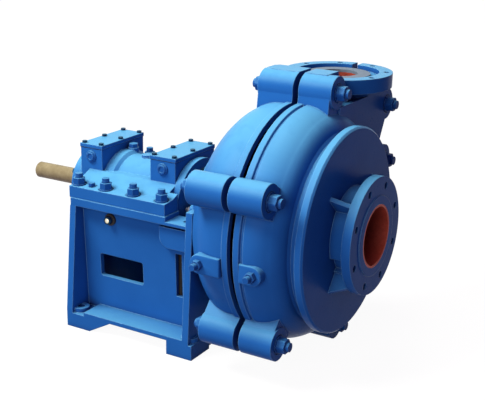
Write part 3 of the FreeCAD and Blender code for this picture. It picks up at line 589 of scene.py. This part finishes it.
# ------------------------------------------------------------------ fasteners
@dataclass(frozen=True)
class ScrewSet:
    """One kind of stud with its nuts: threads past the nut, and the nut's turned face."""

    name: str
    studs: str
    nuts: str
    body: str
    axis: Axis
    sides: tuple[int, ...]
    pitch: float
    rise: float = 0.9 * MM
    clear: float = 0.2 * MM
    countersink: float = 1.4 * MM
    face: float = 0.90
    foot: float = 0.985
    steps: int = 36

    def build(self, dressing: "CadDressing") -> None:
        """Builds the threads and the nut faces.

        Args:
            dressing: Gives the finish.
        """
        threads = Piece(f"{self.name}_threads", self.body, "bolt_steel")
        faces = Piece(f"{self.name}_nut_faces", self.body, "bolt_steel")
        studs, nuts = separate(self.studs), separate(self.nuts)
        for nut in nuts:
            stud = min(studs, key=lambda block: (block.end(self.axis, 1) - nut.middle).length
                       + (block.end(self.axis, -1) - nut.middle).length)
            side = self.facing(stud, nut)
            radius = stud.width(self.axis) / 2
            start = nut.end(self.axis, side)
            self.nut_face(faces, start, side, radius, nut.width(self.axis) / 2)
            length = (stud.end(self.axis, side) - start).length
            if length > 2 * self.pitch:
                threads.thread(self.axis, start, length, radius, self.pitch, side)
        threads.place(dressing.finish("bolt_steel"))
        faces.place(dressing.finish("bolt_steel"))

    def facing(self, stud: Block, nut: Block) -> int:
        """Which way a nut faces: out past its own end of the stud.

        Args:
            stud: The stud's box.
            nut: The nut's box.

        Returns:
            1 along the axis, -1 against it.
        """
        if len(self.sides) == 1:
            return self.sides[0]
        return 1 if nut.middle[self.axis.value] > stud.middle[self.axis.value] else -1

    def nut_face(self, piece: Piece, start: Vector, side: int, stud: float, flat: float) -> None:
        """Adds the raised round face of a nut, with its corners chamfered away.

        Args:
            piece: The piece that it joins.
            start: Centre of the nut's outer face.
            side: Which way the nut faces.
            stud: Radius of the stud.
            flat: Half the width across the flats.
        """
        rise = self.rise * side
        bore = stud + self.clear
        profile = ((bore, -rise), (bore, rise * 0.2), (stud + self.countersink, rise),
                   (flat * self.face, rise), (flat * self.foot, rise * 0.1),
                   (flat * self.foot, -rise), (bore, -rise))
        piece.turned(self.axis, start, profile, self.steps)


SCREW_SETS: tuple[ScrewSet, ...] = (
    ScrewSet("tie", "tie_bolts", "tie_nuts", "pump_frame", Axis.X, (-1, 1), 2.5 * MM),
    ScrewSet("hold_down", "hold_down_studs", "hold_down_nuts", "pump_frame", Axis.Z, (1,),
             2.2 * MM),
    ScrewSet("lining", "lining_studs", "lining_nuts", "pump_frame", Axis.Y, (-1,), 2.0 * MM),
    ScrewSet("adapter", "adapter_studs", "adapter_nuts", "pump_frame", Axis.X, (-1,), 2.0 * MM),
)


# ------------------------------------------------------------------ bearing assembly trim
# Share of the plug's radius, and millimetres past its outer face
PLUG_DISH = ((0.98, 0.0), (0.9, -1.4), (0.62, -1.8), (0.55, 0.4), (0.0, 0.1))


@dataclass(frozen=True)
class BoxTrim:
    """Gaskets under the two bearing lids and the rims of the plugs below them."""

    gasket: float = 1.2 * MM
    inset: float = 0.6 * MM
    web: float = 12.0 * MM
    rim: float = 15.0 * MM
    rim_depth: float = 4.5 * MM
    rim_slope: float = 2.0 * MM

    def build(self, dressing: "CadDressing") -> None:
        """Builds the gaskets and the plug rims.

        Args:
            dressing: Gives the finishes.
        """
        for lid in ("lid_drive", "lid_wet"):
            low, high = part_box(lid)
            self.sheet(f"{lid}_gasket", low, high).place(dressing.finish("packing"))
        rims = Piece("plug_rims", "bearing_assembly", "bolt_steel")
        for plug in separate("box_plugs"):
            hub = plug.width(Axis.Y) / 2
            wall = plug.end(Axis.Y, 1)
            depth = plug.high.y - plug.low.y
            rims.turned(Axis.Y, wall, ((hub + 4 * MM, 0.0),
                                       (self.rim + self.rim_slope, self.rim_slope - self.rim_depth),
                                       (self.rim, -self.rim_depth),
                                       (hub - 1 * MM, -self.rim_depth)))
            dish = [(hub * share, rise * MM - depth) for share, rise in PLUG_DISH]
            rims.turned(Axis.Y, wall, dish)
        rims.place(dressing.finish("bolt_steel"))

    def sheet(self, name: str, low: Vector, high: Vector) -> Piece:
        """Makes a frame of sheet that follows a lid's outline.

        Args:
            name: Name of the gasket.
            low: Lowest corner of the lid.
            high: Highest corner of the lid.

        Returns:
            The piece.
        """
        piece = Piece(name, "bearing_assembly", "packing")
        mesh = piece.mesh
        middle = (low + high) / 2
        size = high - low - Vector((2 * self.inset, 2 * self.inset, 0.0))
        spot = Matrix.Translation((middle.x, middle.y, low.z)) @ Matrix.Diagonal(
            (size.x / 2, size.y / 2, 1.0, 1.0))
        bmesh.ops.create_grid(mesh, x_segments=1, y_segments=1, size=1.0, matrix=spot)
        ring = bmesh.ops.inset_region(mesh, faces=list(mesh.faces), thickness=self.web,
                                      use_boundary=True, use_even_offset=True)["faces"]
        bmesh.ops.delete(mesh, geom=[f for f in mesh.faces if f not in ring], context="FACES")
        made = bmesh.ops.extrude_face_region(mesh, geom=list(mesh.faces))["geom"]
        verts = [item for item in made if isinstance(item, bmesh.types.BMVert)]
        bmesh.ops.translate(mesh, verts=verts, vec=(0.0, 0.0, -self.gasket))
        return piece


# ------------------------------------------------------------------ casing trim
@dataclass(frozen=True)
class LiningLugs:
    """The D-shaped lugs that the lining studs pass through, beside the casing joint."""

    radius: float = 25.0 * MM
    shoulder: float = 27.0 * MM
    depth: float = 40.0 * MM
    proud: float = 0.4 * MM
    edge: float = 3.0 * MM
    segments: int = 40
    edge_segments: int = 3

    def build(self, dressing: "CadDressing") -> None:
        """Builds one lug at each lining stud.

        Args:
            dressing: Gives the finish.
        """
        joint = (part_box("frame_plate")[1].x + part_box("cover_plate")[0].x) / 2
        for name, nut in zip(("lug_rear", "lug_front"), separate("lining_nuts")):
            seat = nut.end(Axis.Y, 1)
            towards = 1.0 if joint > seat.x else -1.0
            shoulder = joint - towards * self.shoulder
            self.lug(name, seat, towards, shoulder).place(dressing.finish("blue_enamel"))

    def lug(self, name: str, seat: Vector, towards: float, shoulder: float) -> Piece:
        """Makes one lug.

        Args:
            name: Its name.
            seat: Centre of the nut's seat.
            towards: 1 where the joint lies along X, -1 where it lies against it.
            shoulder: Where the lug meets the rim beside the joint.

        Returns:
            The piece.
        """
        piece = Piece(name, "pump_frame", "blue_enamel")
        mesh = piece.mesh
        facing = Matrix.Translation(seat - Vector((0.0, self.proud, 0.0)))
        facing = facing @ Matrix.Rotation(math.radians(90.0), 4, "X")
        bmesh.ops.create_circle(mesh, cap_ends=True, segments=self.segments, radius=self.radius,
                                matrix=facing)
        inner = [vert for vert in mesh.verts if (vert.co.x - seat.x) * towards > 0.1 * MM]
        for vert in inner:
            vert.co.x = shoulder
        rim = list(mesh.edges)
        made = bmesh.ops.extrude_face_region(mesh, geom=list(mesh.faces))["geom"]
        back = [item for item in made if isinstance(item, bmesh.types.BMVert)]
        bmesh.ops.translate(mesh, verts=back, vec=(0.0, self.depth, 0.0))
        bmesh.ops.bevel(mesh, geom=rim, offset=self.edge, segments=self.edge_segments, profile=0.5,
                        affect="EDGES", material=-1)
        return piece


# ------------------------------------------------------------------ base trim
# Share of the tip's radius, and millimetres past the plug's outer face
TIP_DOME = ((1.0, 1.0), (1.0, -1.2), (0.75, -2.4), (0.0, -2.9))


@dataclass(frozen=True)
class BaseTrim:
    """The drain plug's collar and bright tip, and the rubber leak-off hose inside the base."""

    collar: float = 17.0 * MM
    collar_bore: float = 7.0 * MM
    collar_chamfer: float = 2.0 * MM
    collar_front: float = 1.0 * MM
    collar_back: float = 9.0 * MM
    plug_head: float = 11.0 * MM
    tip: float = 6.5 * MM
    tip_steps: int = 24
    hose: float = 10.5 * MM
    hose_wall: float = 2.0 * MM
    hose_steps: int = 28
    ferrule: float = 4.0 * MM
    ferrule_length: float = 20.0 * MM
    outlet: tuple[float, float, float] = (121 * MM, -133 * MM, 283 * MM)
    foot_gap: float = 22.0 * MM

    def build(self, dressing: "CadDressing") -> None:
        """Builds the collar, the tip and the hose.

        Args:
            dressing: Gives the finishes.
        """
        low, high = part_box("drain_plug")
        face = Vector(((low.x + high.x) / 2, low.y, (low.z + high.z) / 2))
        head = face + Vector((0.0, self.plug_head, 0.0))
        collar = Piece("drain_collar", "pump_frame", "packing")
        collar.turned(Axis.Y, head, (
            (self.collar_bore, -self.collar_front),
            (self.collar - self.collar_chamfer, -self.collar_front),
            (self.collar, self.collar_chamfer - self.collar_front),
            (self.collar, self.collar_back)))
        collar.place(dressing.finish("packing"))
        tip = Piece("drain_plug_tip", "pump_frame", "brass")
        dome = [(self.tip * share, rise * MM) for share, rise in TIP_DOME]
        tip.turned(Axis.Y, face, dome, self.tip_steps)
        tip.place(dressing.finish("brass"))
        self.leak_off()

    def leak_off(self) -> None:
        """Builds the hose with its ferrule, from the gland sump down to just above the floor."""
        inner = self.hose - self.hose_wall
        outer = self.hose + self.ferrule
        top = Vector(self.outlet)
        drop = top.z - self.foot_gap
        hose = Piece("leak_off_hose", "pump_frame", "packing")
        hose.turned(Axis.Z, top, (
            (inner, self.ferrule), (outer, self.ferrule),
            (outer, 2 * MM - self.ferrule_length), (outer - 1 * MM, -self.ferrule_length),
            (self.hose, -self.ferrule_length), (self.hose, -drop), (inner, -drop),
            (inner, self.ferrule)), self.hose_steps)
        # The hose's near-black rubber also stands in for the shade inside the slot.
        hose.place(HOSE_RUBBER_AND_SLOT_SHADE.make())


# ------------------------------------------------------------------ studio
WHITE: Colour = (1, 1, 1, 1)


@dataclass(frozen=True)
class Lamp:
    """One soft panel: its place from the middle of the pump, size, watts and colour."""

    name: str
    offset: tuple[float, float, float]
    size: tuple[float, float]
    power: float
    tint: tuple[float, float, float]

    def hang(self, middle: Vector) -> None:
        """Hangs the panel so that it faces the pump.

        Args:
            middle: The middle of the pump.
        """
        data = bpy.data.lights.new(self.name, "AREA")
        data.color = self.tint
        data.shape = "RECTANGLE"
        data.size, data.size_y = self.size
        data.energy = self.power
        offset = Vector(self.offset)
        obj = bpy.data.objects.new(self.name, data)
        obj.location = middle + offset
        obj.rotation_euler = (-offset).to_track_quat("-Z", "Y").to_euler()
        bpy.context.scene.collection.objects.link(obj)


LAMPS: tuple[Lamp, ...] = (
    Lamp("key", (-1.35, -1.60, 2.60), (1.7, 1.1), 150.0, (1.0, 1.0, 0.92)),
    Lamp("overhead", (-0.35, 0.1, 3.4), (1.4, 1.4), 58.0, (1.0, 1.0, 0.90)),
    Lamp("fill", (0.55, -3.3, 0.85), (2.0, 2.0), 50.0, (1.0, 0.95, 1.0)),
)


@dataclass(frozen=True)
class Studio:
    """Pale floor, backdrop, lamps and camera."""

    eye: tuple[float, float, float] = (1.5241, -2.2453, 1.2087)
    azimuth: float = 31.30
    elevation: float = 17.97
    roll: float = 0.765
    lens: float = 74.80
    shift: tuple[float, float] = (0.0456, 0.0166)
    floor_size: float = 60.0
    middle: tuple[float, float, float] = (0.1, 0.0, 0.4)
    ambient: Colour = (1.0, 0.42, 1.0, 1)
    ambient_strength: float = 0.15
    floor_lit: Colour = (0.17, 0.13, 0.20, 1)
    floor_near: Colour = (0.945, 0.945, 0.945, 1)
    floor_shade: Colour = (0.10, 0.10, 0.10, 1)
    floor_fade: tuple[float, float] = (1.2, 4.0)

    def floor(self) -> None:
        """A plain floor that shows white to the camera and keeps a soft shadow."""
        mesh = bmesh.new()
        bmesh.ops.create_grid(mesh, x_segments=1, y_segments=1, size=self.floor_size / 2)
        data = bpy.data.meshes.new("studio_floor")
        mesh.to_mesh(data)
        mesh.free()
        obj = bpy.data.objects.new("studio_floor", data)
        bpy.context.scene.collection.objects.link(obj)
        tree = Tree(bpy.data.materials.new("studio_floor"))
        lit = tree.node("ShaderNodeBsdfDiffuse", None, {"Color": self.floor_lit})
        away = tree.node("ShaderNodeVectorMath", {"operation": "LENGTH"}, [tree.place()],
                         output="Value").ramp(*self.floor_fade)
        glow = tree.mix(away, self.floor_near, WHITE)
        white = tree.node("ShaderNodeEmission", None, {"Color": glow})
        shade = tree.node("ShaderNodeBsdfDiffuse", None, {"Color": self.floor_shade})
        shown = tree.node("ShaderNodeAddShader", None, [white, shade])
        tree.finish(tree.node("ShaderNodeMixShader", None, [self.seen(tree), lit, shown]))
        data.materials.append(tree.owner)

    def seen(self, tree: Tree) -> Val:
        """One for rays that should meet a white background.

        Args:
            tree: The tree that uses it.

        Returns:
            The mask of camera, glossy and transmission rays.
        """
        path = tree.node("ShaderNodeLightPath", output="Is Camera Ray")
        mask = path
        for name in ("Is Glossy Ray", "Is Transmission Ray"):
            ray = Val(tree, path.socket.node.outputs[name])
            mask = tree.node("ShaderNodeMath", {"operation": "MAXIMUM"}, [mask, ray])
        return mask

    def world(self) -> None:
        """Even surroundings that show white to the camera."""
        world = bpy.data.worlds.new("studio")
        bpy.context.scene.world = world
        tree = Tree(world)
        dim = tree.node("ShaderNodeBackground", None,
                        {"Color": self.ambient, "Strength": self.ambient_strength})
        white = tree.node("ShaderNodeBackground", None, {"Color": WHITE})
        mixed = tree.node("ShaderNodeMixShader", None, [self.seen(tree), dim, white])
        tree.finish(mixed, "ShaderNodeOutputWorld")

    def camera(self) -> None:
        """The viewing camera."""
        az, el, roll = (math.radians(a) for a in (self.azimuth, self.elevation, self.roll))
        back = Vector((math.sin(az) * math.cos(el), -math.cos(az) * math.cos(el), math.sin(el)))
        right = Vector((math.cos(az), math.sin(az), 0.0))
        up = back.cross(right)
        turned = right * math.cos(roll) + up * math.sin(roll)
        upright = up * math.cos(roll) - right * math.sin(roll)
        matrix = Matrix((turned, upright, back)).transposed().to_4x4()
        data = bpy.data.cameras.new("camera")
        data.lens = self.lens
        data.shift_x, data.shift_y = self.shift
        obj = bpy.data.objects.new("camera", data)
        obj.matrix_world = Matrix.Translation(self.eye) @ matrix
        bpy.context.scene.collection.objects.link(obj)
        bpy.context.scene.camera = obj

    def build(self) -> None:
        """Builds the whole studio."""
        self.floor()
        self.world()
        for lamp in LAMPS:
            lamp.hang(Vector(self.middle))
        self.camera()
        bpy.context.scene.view_settings.view_transform = "Standard"
        LOG.info("studio ready")


def main() -> None:
    """Dresses the pump and sets the scene."""
    logging.basicConfig(level=logging.INFO, format="%(name)s: %(message)s")
    dressing = CadDressing()
    dressing.dress()
    for screws in SCREW_SETS:
        screws.build(dressing)
    BoxTrim().build(dressing)
    LiningLugs().build(dressing)
    BaseTrim().build(dressing)
    Studio().build()


if __name__ == "__main__":
    main()
